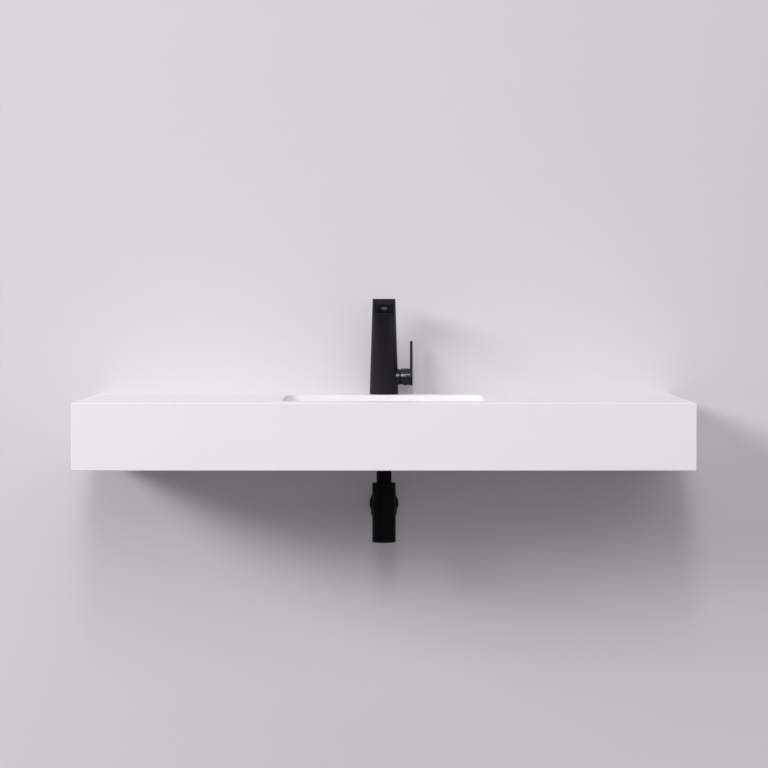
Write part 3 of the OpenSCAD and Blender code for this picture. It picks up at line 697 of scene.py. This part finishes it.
def tapRadius(s, z):
    return s["footRadius"] + (s["topRadius"] - s["footRadius"]) * z / s["height"]


def tapMiddle(s, z):
    return s["lean"] * (z / s["height"]) ** 2


def tapPoint(s, i, z, front, width, corner):  # one point of the outline at height z
    a = 2 * math.pi * i / s["points"]
    r = tapRadius(s, z)
    foremost = 3 * s["points"] // 4
    if i <= s["points"] // 2:
        return Vector((r * math.cos(a), s["y"] - tapMiddle(s, z) + r * math.sin(a), z))
    if i == foremost:
        return Vector((0, s["y"] - front, z))
    side = -1 if i < foremost else 1
    return Vector((side * (width / 2 - corner) + corner * math.cos(a),
                   s["y"] - front + corner + corner * math.sin(a), z))


def outletRun(s):  # how far the sloping face runs forward
    return (s["lip"] - s["under"]) / math.tan(math.radians(s["tilt"]))


def outletPlace(s):  # in the middle of the sloping face, with Z running into it
    return (lifted(0, s["y"] - s["reach"] + outletRun(s) / 2, (s["lip"] + s["under"]) / 2)
            @ turned(-s["tilt"], "X"))


def leverLine(s):  # on the lever's axis, with Z running to the right
    return lifted(0, s["y"], s["leverZ"]) @ turned(90, "Y")


def tapLevels(s):  # height, front, width and corner radius of each outline
    def plainFront(z):
        return tapMiddle(s, z) + tapRadius(s, z)
    gain = s["reach"] - outletRun(s) - plainFront(s["under"])
    steps = s["steps"]
    levels = []
    for i in range(steps + 1):
        z = s["gap"] + (s["throat"] - s["gap"]) * i / steps
        levels.append((z, plainFront(z), 2 * tapRadius(s, z), tapRadius(s, z)))
    for i in range(1, steps + 1):
        t = i / steps
        z = s["throat"] + (s["under"] - s["throat"]) * t
        r = tapRadius(s, z)
        levels.append((z, plainFront(z) + gain * t * t,
                       2 * r + (s["tipWidth"] - 2 * s["topRadius"]) * t,
                       r + (s["underCorner"] - r) * t * t))
    for z in (s["lip"], s["height"]):
        levels.append((z, s["reach"], s["tipWidth"], s["tipCorner"]))
    return levels


def tapForm(s):
    bm = bmesh.new()
    ring = bmesh.ops.create_circle(bm, cap_ends=True, segments=s["points"], radius=1)["verts"]
    ring.sort(key=lambda vert: math.atan2(vert.co.y, vert.co.x) % (2 * math.pi))
    bm.faces.ensure_lookup_table()
    face = bm.faces[0]
    for number, level in enumerate(tapLevels(s)):
        if number:
            face = drawnOut(bm, face, number == 1)
            ring = [next(edge.other_vert(vert) for edge in vert.link_edges
                         if edge.other_vert(vert) in face.verts) for vert in ring]
        for i, vert in enumerate(ring):
            vert.co = tapPoint(s, i, *level)
    bmesh.ops.recalc_face_normals(bm, faces=bm.faces)
    return eased(bm, *s["ease"])


def makeTap(s):
    outlet, line = outletPlace(s), leverLine(s)
    length = outletRun(s) / math.cos(math.radians(s["tilt"])) - s["pocket"][1]
    pocket = traySolid(s["tipWidth"] - s["pocket"][0], length, s["pocketCorner"],
                       s["pocketLevels"], None, s["pocketSteps"])
    cartridge = rod(s["cartridge"], s["cartridgeLength"])
    column = carved(tapForm(s), [moved(pocket, outlet), moved(rod(*s["aeratorHole"]), outlet),
                                 moved(cartridge, line @ lifted(0, 0, s["cartridgeStart"])),
                                 moved(spun(s["sealGroove"]), lifted(0, s["y"], 0))])
    column = joined(column, [moved(rod(*s["neck"]), lifted(0, s["y"], s["neckFoot"]))])
    bores = [moved(rod(*s["studHole"]), lifted(0, s["y"] + s["studY"], s["boreFoot"]))]
    for x, y in s["inlets"]:
        bores.append(moved(rod(*s["inletHole"]), lifted(x, s["y"] + y, s["boreFoot"])))
    keepPiece("tapColumn", carved(column, bores), "basin", "black_metal", ["tap_body"])


def makeCollar(s):
    inner, r, e, c = s["cartridge"], s["collarRadius"], s["collarEase"], s["collarCurve"]
    start, end = s["collarStart"], s["collarReach"]
    collar = spun([(inner, start), (r, start), (r, end - e), (r - c, end - c), (r - e, end),
                   (inner + e, end), (inner, end - e)])
    keepPiece("tapCollar", moved(collar, leverLine(s)), "basin", "black_metal", ["tap_body"],
              satinCoat)


aeratorSet = {
    "ring": [  # its mouth opens a little towards the lip, and that wall catches the light
        (7.5, 7), (7.5, -0.4), (8.05, -2.3), (8.17, -2.45), (8.35, -2.5), (9.8, -2.5),
        (9.95, -2.45), (10, -2.3), (10, 0), (8.95, 0), (8.95, 7),
    ],
    "ringDepth": 3.0,
    "grid": [(0, 6), (7.45, 6), (7.45, 1.2), (7.1, 0.4), (6.4, 0), (0, 0)],
    "gridDepth": 1.4,
    "gridSteps": 64,
    "hole": [(-1.1, -1.1, -1), (1.1, 1.1, 7)],
    "pitch": 3,
    "span": 2,           # holes out from the middle
    "round": 2.3,        # how far out they go, in pitches
}


def makeAerator(s, tap):
    outlet = outletPlace(tap)
    ring = moved(spun(s["ring"]), outlet @ lifted(0, 0, s["ringDepth"]))
    keepPiece("aeratorRing", ring, "basin", "black_metal", ["aerator_housing"], satinCoat)
    span = range(-s["span"], s["span"] + 1)
    holes = [moved(block(*s["hole"]), lifted(s["pitch"] * i, s["pitch"] * j, 0))
             for i in span for j in span if math.hypot(i, j) < s["round"]]
    grid = carved(spun(s["grid"], s["gridSteps"]), holes)
    keepPiece("aeratorGrid", moved(grid, outlet @ lifted(0, 0, s["gridDepth"])), "basin",
              "grey_plastic", ["aerator_insert"])


makeTap(tapSet)
makeCollar(tapSet)
makeAerator(aeratorSet, tapSet)
print("tap made")


# Lever

leverSet = {
    "pivot": 37.0,
    "mouth": 35.0,
    "hubRadius": 17.75,
    "hubSink": 0.02,     # of the hub under the rim of the blade
    "boreRadius": 15.9,
    "boreEnd": 47.0,
    "bladeX": 54.0,
    "bladeThickness": 5.4,
    "bladeSteps": 96,
    "tipRadius": 7.5,
    "tipHeight": 75.0,
    "flat": 0.5,         # degrees
    "ease": (0.7, 3, 40),
    "tilt": 25.0,
    "lip": 4.5,          # from the pivot back to the lower half of the mouth
    "wedge": (40.0, 30.0),
    "socket": 6.1,
    "socketEnd": 53.0,
    "screwX": 50.5,
    "screwHole": 2.02,
    "screwSteps": 32,
    "stem": 6.0,
    "stemStart": 33.0,
    "stemEnd": 52.8,
    "stemEase": 0.3,
    "arm": 9.5,          # from the pivot back to the ball
    "ball": 2.0,
    "ballTurns": (0, 136, 9),
    "neck": 1.4,
    "pinSteps": 48,
    "pinHole": (1.3, 20.0, 32),
}


def bladeForm(s):  # the hull round a big and a small disc
    bm = moved(rod(s["hubRadius"], s["bladeThickness"], s["bladeSteps"]), lifted(0, 0, s["bladeX"]))
    tip = moved(rod(s["tipRadius"], s["bladeThickness"]),
                lifted(s["tipRadius"] - s["tipHeight"], 0, s["bladeX"]))
    mesh = bpy.data.meshes.new("tip")
    tip.to_mesh(mesh)
    tip.free()
    bm.from_mesh(mesh)
    bpy.data.meshes.remove(mesh)
    hull = bmesh.ops.convex_hull(bm, input=bm.verts)
    left = dict.fromkeys(hull["geom_interior"] + hull["geom_unused"])
    bmesh.ops.delete(bm, geom=[item for item in left if isinstance(item, bmesh.types.BMVert)],
                     context="VERTS")
    bmesh.ops.dissolve_limit(bm, angle_limit=math.radians(s["flat"]), verts=bm.verts,
                             edges=bm.edges)
    bmesh.ops.recalc_face_normals(bm, faces=bm.faces)
    return eased(bm, *s["ease"])


def makeLever(s, tap):
    line = leverLine(tap)
    radius, top = s["hubRadius"] - s["hubSink"], s["bladeX"] + lap
    hub = spun([(0, top), (radius, top), (radius, s["mouth"]), (0, s["mouth"])])
    bm = joined(moved(bladeForm(s), line), [moved(hub, line)])
    size, deep = s["wedge"]
    wedge = moved(block((-s["lip"] - size, -deep, -size), (-s["lip"], deep, size)),
                  lifted(s["pivot"], tap["y"], tap["leverZ"]) @ turned(-s["tilt"], "Y"))
    w = s["socket"] / 2
    socket = moved(block((s["boreEnd"] - lap, -w, -w), (s["socketEnd"], w, w)),
                   lifted(0, tap["y"], tap["leverZ"]))
    bore = moved(rod(s["boreRadius"], s["boreEnd"] - s["mouth"] + lap, s["bladeSteps"]),
                 line @ lifted(0, 0, s["mouth"] - lap))
    hole = moved(rod(s["screwHole"], tap["leverZ"], s["screwSteps"]),
                 lifted(s["screwX"], tap["y"], 0))
    bm = carved(bm, [wedge, bore, socket, hole])
    for face in bm.faces:
        face.material_index = 1 if face.calc_center_median().x > s["bladeX"] - lap else 0
    handle = keepPiece("leverHandle", bm, "lever", "black_metal", ["lever_handle"], satinCoat)
    handle.data.materials.append(finishes["black_metal"])


def makeStem(s, tap):
    w = s["stem"] / 2
    bar = block((s["stemStart"], -w, -w), (s["stemEnd"], w, w))
    bar = moved(eased(bar, s["stemEase"]), lifted(0, tap["y"], tap["leverZ"]))
    turns = [math.radians(degrees) for degrees in range(*s["ballTurns"])]
    ball = [(s["ball"] * math.sin(a), -s["ball"] * math.cos(a)) for a in turns]
    pin = spun(ball + [(s["neck"], s["arm"]), (0, s["arm"])], s["pinSteps"])
    stem = joined(bar, [moved(pin, leverLine(tap) @ lifted(0, 0, s["pivot"] - s["arm"]))])
    behind = tap["y"] + s["pinHole"][1] / 2
    hole = moved(rod(*s["pinHole"]),
                 lifted(s["pivot"], behind, tap["leverZ"]) @ turned(90, "X"))
    keepPiece("leverStem", carved(stem, [hole]), "lever", "brass", ["lever_stem"])


makeLever(leverSet, tapSet)
makeStem(leverSet, tapSet)
print("lever made")


# Trap

trapSet = {
    "y": -240.0,
    "radius": 23.65,
    "wall": 2.2,
    "top": -170.5,
    "shoulder": -178.0,
    "roof": 3.0,         # thickness under the shoulder
    "foot": -278.0,
    "bottom": -290.0,
    "ease": 0.5,
    "tube": 15.0,
    "tubeFit": 0.2,
    "tubeSteps": 96,
    "neckWall": 2.7,     # from the outside of the bottle in to its neck
    "neckTop": 6.0,      # below the top of the ring nut
    "hollow": 84.0,
    "hollowFit": 0.02,
    "hollowSteps": 80,
    "outletZ": -231.5,
    "stub": 20.75,
    "stubStart": 8.0,
    "stubEnd": -192.35,
    "ringFit": 0.4,
    "ringHeight": 7.5,
    "ringTop": 2.0,
    "ringWall": 2.6,
    "ringRound": 1.0,
    "capRound": 2.2,
    "capGap": 0.5,
    "threadFit": 0.05,
    "capGroove": (1.0, 1.5),
    "capReach": 8.0,
    "capWall": 2.6,
    "capFloor": 3.0,
    "nut": 26.0,
    "nutStart": -207.35,
    "nutLength": 20.0,
    "nutShoulder": [(0, 3), (0.2, 2.4), (2.6, 0.3), (3, 0)],  # in from its side, back from its end
    "nutBore": 15.5,
    "nutSeat": 16.0,
    "plate": 30.25,
    "plateDepth": 12.0,
    "plateEdge": 1.6,
    "plateFlat": 2.0,
    "plateTurns": (4, 90, 12),
}


def ringNutProfile(s):
    r, e, top, bore, inner = (s["radius"], s["ease"], s["top"], s["tube"] + s["ringFit"],
                              s["radius"] - s["ringWall"])
    under, low, curve = top - s["ringTop"], top - s["ringHeight"], s["ringRound"]
    return ([(bore, under), (bore, top - e)] + arc(bore + e, top - e, e, e, 180, 90, 3)
            + arc(r - curve, top - curve, curve, curve, 90, 0, 4)
            + [(r, low + e), (r - e, low), (inner, low), (inner, under)])


def bottleProfile(s):
    r, e, inner, bore = s["radius"], s["ease"], s["radius"] - s["wall"], s["tube"] + s["tubeFit"]
    ceiling, neck, high = s["shoulder"] - s["roof"], r - s["neckWall"], s["top"] - s["neckTop"]
    return ([(inner, s["foot"])] + arc(r - e, s["foot"] + e, e, e, -90, 0, 3)
            + arc(r - e, s["shoulder"] - e, e, e, 0, 90, 3)
            + [(neck, s["shoulder"]), (neck, high), (bore, high), (bore, ceiling),
               (inner, ceiling)])


def capProfile(s):
    r, e, curve, bottom = s["radius"], s["ease"], s["capRound"], s["bottom"]
    neck, seam = r - s["wall"] - s["threadFit"], s["foot"] - s["capGap"]
    end = s["foot"] + s["capReach"]
    groove, grooveTop = neck - s["capGroove"][0], s["foot"] + s["capGroove"][1]
    inner, floor = neck - s["capWall"], bottom + s["capFloor"]
    return ([(0, bottom)] + arc(r - curve, bottom + curve, curve, curve, -90, 0, 6)
            + arc(r - e, seam - e, e, e, 0, 90, 3)
            + [(groove, seam), (groove, grooveTop), (neck, grooveTop), (neck, end), (inner, end),
               (inner, floor), (0, floor)])


def makeTrap(s):
    line = lifted(0, s["y"], 0)
    outlet = lifted(0, s["y"], s["outletZ"]) @ turned(-90, "X")
    e, bore, reach = s["ease"], s["tube"] + s["tubeFit"], s["stubEnd"] - s["y"]
    keepPaintedShade("trapRingNut", moved(spun(ringNutProfile(s)), line), "trap_ring_nut")
    stub = spun([(0, s["stubStart"]), (s["stub"], s["stubStart"]), (s["stub"], reach - e),
                 (s["stub"] - e, reach), (0, reach)])
    body = joined(moved(spun(bottleProfile(s)), line), [moved(stub, outlet)])
    hollow = rod(s["radius"] - s["wall"] + s["hollowFit"], s["hollow"], s["hollowSteps"])
    body = carved(body, [moved(hollow, line @ lifted(0, 0, s["foot"] - lap)),
                         moved(rod(bore, reach + lap, s["tubeSteps"]), outlet)])
    keepPaintedShade("trapBottle", body, "trap_body")
    keepPaintedShade("trapEndCap", moved(spun(capProfile(s)), line), "trap_end_cap")
    n, length, thread = s["nut"], s["nutLength"], s["stub"] + s["threadFit"]
    nut = spun([(thread, 0), (n - e, 0), (n, e)]
               + [(n - inward, length - back) for inward, back in s["nutShoulder"]]
               + [(s["nutBore"], length), (s["nutBore"], s["nutSeat"]), (thread, s["nutSeat"])])
    keepPaintedShade("trapOutletNut", moved(nut, lifted(0, s["nutStart"] - s["y"], 0) @ outlet),
             "outlet_nut")
    plate, depth, flat = s["plate"], s["plateDepth"], s["plateFlat"]
    cover = spun([(bore, 0), (plate, 0), (plate, s["plateEdge"])]
                 + arc(bore + flat, flat, plate - bore - flat, depth - flat, *s["plateTurns"])
                 + [(bore, depth)])
    keepPaintedShade("wallCover", moved(cover, lifted(0, 0, s["outletZ"]) @ turned(90, "X")), "wall_plate")


makeTrap(trapSet)
print("trap made")


# Waste

wasteSet = {
    "y": -240.0,
    "top": -86.0,
    "end": -136.0,
    "tail": 20.75,
    "bore": 17.25,
    "flange": 33.0,
    "sheet": 2.0,        # thickness of the flange
    "edge": 0.9,
    "dip": 0.4,          # where the flange starts to slope down to the bore
    "slope": 6.0,
    "threadEnd": 4.0,    # below the top
    "pitch": 2.0,
    "depth": 0.7,        # of the thread
    "spider": (-112.0, -107.0),
    "spiderHub": (6.0, 9.0),
    "arms": (0, 120, 240),
    "armStart": 6.5,
    "armHalf": 1.5,
    "flute": (2.0, 0.9, 32),  # radius of a flute in a nut, how far out its middle lies, steps
    "inletNut": {"radius": 24.0, "foot": -143.0, "height": 20.0, "ease": 0.5, "bore": 15.5,
                 "thread": 20.8, "seat": 4.0, "flutes": 10},
    "lockNut": {"radius": 29.25, "foot": -115.0, "height": 10.0, "ease": 1.0, "thread": 20.85,
                "flutes": 6},
    "cap": 31.0,
    "capUnder": -77.0,
    "capWeb": 1.5,
    "capRim": 8.0,
    "capSocket": (5.0, 7.0, 3.0),
    "capFoot": (0.6, 0.8),
    "capTop": (5.1, 5.2),
    "capShoulder": (2.0, 2.6, 2.0, 2.2, 0, 78, 6),
}


def gripNut(profile, nut, flute):
    radius, out, steps = flute
    cuts = []
    for i in range(nut["flutes"]):
        place = (turned(i * 360 / nut["flutes"], "Z")
                 @ lifted(nut["radius"] + out, 0, nut["foot"] - lap))
        cuts.append(moved(rod(radius, nut["height"] + 2 * lap, steps), place))
    return carved(spun(profile), cuts)


def inletNutProfile(s):
    n, e, low, high = s["radius"], s["ease"], s["foot"], s["foot"] + s["height"]
    seat = low + s["seat"]
    return [(s["bore"], low), (n - e, low), (n, low + e), (n, high - e), (n - e, high),
            (s["thread"], high), (s["thread"], seat), (s["bore"], seat)]


def lockNutProfile(s):
    n, e, low, high = s["radius"], s["ease"], s["foot"], s["foot"] + s["height"]
    return [(s["thread"], low), (n - e, low), (n, low + e), (n, high - e), (n - e, high),
            (s["thread"], high)]


def plugProfile(s):
    r, under = s["cap"], s["capUnder"]
    web, inner = under + s["capWeb"], r - s["capRim"]
    (hole, socket, drop), (inset, lift), (rim, crown) = s["capSocket"], s["capFoot"], s["capTop"]
    inward, height, width, rise, first, last, steps = s["capShoulder"]
    return ([(0, web), (hole, web), (hole, under - drop), (socket, under - drop), (socket, web),
             (inner, web), (inner, under), (r - inset, under), (r, under + lift)]
            + arc(r - inward, under + height, width, rise, first, last, steps)
            + [(inner, under + rim), (0, under + crown)])


def makeWaste(s):
    line = lifted(0, s["y"], 0)
    top, flange, bore, tail, edge = s["top"], s["flange"], s["bore"], s["tail"], s["edge"]
    under = top - s["sheet"]
    body = spun([(bore, s["end"])]
                + threaded(tail, s["depth"], s["pitch"], s["end"], top - s["threadEnd"])
                + [(tail, under), (flange, under), (flange, top - edge)]
                + arc(flange - edge, top - edge, edge, edge, 0, 90, 4)
                + [(bore + s["slope"], top - s["dip"]), (bore, under)])
    (low, high), (inner, outer), half = s["spider"], s["spiderHub"], s["armHalf"]
    parts = [spun([(inner, low), (outer, low), (outer, high), (inner, high)])]
    for degrees in s["arms"]:
        arm = block((s["armStart"], -half, low), (bore + lap, half, high))
        parts.append(moved(arm, turned(degrees, "Z")))
    keepPaintedShade("wasteBody", moved(joined(body, parts), line), "waste_body")
    nut = gripNut(inletNutProfile(s["inletNut"]), s["inletNut"], s["flute"])
    keepPaintedShade("inletNut", moved(nut, line), "inlet_nut")
    nut = gripNut(lockNutProfile(s["lockNut"]), s["lockNut"], s["flute"])
    keepPiece("wasteLockNut", moved(nut, line), "basin", "brass", ["waste_lock_nut"])
    keepPiece("plugCap", moved(spun(plugProfile(s)), line), "plug", "black_metal", ["plug_cap"])


makeWaste(wasteSet)
print("waste made")


# Fixings

fixingSet = {
    "studY": -57.0,
    "studLow": -48.0,
    "studHigh": 10.0,
    "studRadius": 3.9,
    "studSteps": 32,
    "pitch": 1.25,
    "depth": 0.6,
    "eased": {  # rounding of the edges of the plain CAD solids
        "wall_bracket_left": 0.5, "wall_bracket_right": 0.5, "deck_screws": 0.3,
        "fixing_nut": 0.3, "fixing_plate": 0.2, "threaded_inserts": 0.2,
    },
    "easing": (2, 32),   # segments, and degrees above which an edge is rounded
    "flat": 1,           # degrees
}


def makeStud(s):
    thread = threaded(s["studRadius"], s["depth"], s["pitch"], s["studLow"], s["studHigh"])
    stud = spun([(0, s["studLow"])] + thread + [(0, s["studHigh"])], s["studSteps"])
    keepPiece("fixingStud", moved(stud, lifted(0, s["studY"], 0)), "basin", "zinc_steel",
              ["fixing_stud"])


def easedCopy(s, node, width):  # the CAD solid with its sharp edges rounded
    piece = nodes[node]
    bm = bmesh.new()
    bm.from_mesh(piece.data)
    moved(bm, Matrix.Scale(1 / mm, 4) @ piece.matrix_world)
    bmesh.ops.remove_doubles(bm, verts=bm.verts, dist=weldGap)
    bmesh.ops.dissolve_limit(bm, angle_limit=math.radians(s["flat"]), verts=bm.verts,
                             edges=bm.edges)
    keepPiece(node + "_eased", eased(bm, width, *s["easing"]), piece["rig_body"], slotOf[node],
              [node])


makeStud(fixingSet)
for node, width in fixingSet["eased"].items():
    easedCopy(fixingSet, node, width)
print("fixings made")


# Light, wall and floor

stageSet = {
    "wall": (0.664, 0.648, 0.668),
    "floor": (0.74, 0.73, 0.74),
    "floorBounce": (0.34, 0.33, 0.34),  # what the floor sends on to the object
    "floorHeight": -0.86,
    "half": 2.6,
    "backdrop": (0.52, 0.51, 0.53),
    "world": 0.03,
}
lampDistance = 8.0
lampSet = [  # azimuth to the left of the view and elevation in degrees, size in metres
    {"name": "keySoftbox", "azimuth": 56, "elevation": 21, "size": (7.0, 1.8), "power": 490.0},
    {"name": "roomSoftbox", "azimuth": -30, "elevation": 20, "size": (12.0, 8.0), "power": 212.0},
    {"name": "topSoftbox", "azimuth": 0, "elevation": 85, "size": (12.0, 12.0), "power": 330.0},
    {"name": "frontSoftbox", "azimuth": 1, "elevation": 27, "size": (0.8, 4.4), "power": 150.0},
]


def stageFinish(name, shown, sentOn):  # one side only, so that a view from behind sees through it
    p = Paint(name)
    matte = p.add("ShaderNodeBsdfDiffuse", None, {"Color": p.blend(p.shownTo(), sentOn, shown)})
    clear = p.add("ShaderNodeBsdfTransparent")
    behind = p.number(p.add("ShaderNodeNewGeometry"), "Backfacing")
    return p.shade("ShaderNodeMixShader", {0: behind, 1: matte.outputs[0], 2: clear.outputs[0]})


def makePlane(name, matrix, half, material):
    bm = bmesh.new()
    bmesh.ops.create_grid(bm, x_segments=1, y_segments=1, size=half)
    moved(bm, matrix)
    mesh = bpy.data.meshes.new(name)
    bm.to_mesh(mesh)
    bm.free()
    mesh.materials.append(material)
    plane = bpy.data.objects.new(name, mesh)
    bpy.context.collection.objects.link(plane)


def makeLamp(lamp):
    data = bpy.data.lights.new(lamp["name"], "AREA")
    data.shape = "RECTANGLE"
    data.size, data.size_y = lamp["size"]
    data.energy = lamp["power"]
    light = bpy.data.objects.new(lamp["name"], data)
    aim = turned(-lamp["azimuth"], "Z") @ turned(-lamp["elevation"], "X")
    light.location = aim @ Vector((0, -lampDistance, 0))
    light.rotation_euler = (-light.location).to_track_quat("-Z", "Y").to_euler()
    bpy.context.collection.objects.link(light)


def makeStage(s):
    makePlane("studioWall", turned(90, "X"), s["half"],
              stageFinish("wallPaint", s["wall"], s["wall"]))
    makePlane("studioFloor", lifted(0, 0, s["floorHeight"]), s["half"],
              stageFinish("floorPaint", s["floor"], s["floorBounce"]))
    sky = Paint("studioSky", bpy.data.worlds, "ShaderNodeOutputWorld")
    dim = (s["world"],) * 3
    bpy.context.scene.world = sky.shade(
        "ShaderNodeBackground", {"Color": sky.blend(sky.shownTo(), dim, s["backdrop"])})
    bpy.context.scene.view_settings.view_transform = "Standard"


makeStage(stageSet)
for lamp in lampSet:
    makeLamp(lamp)
print("stage lit")
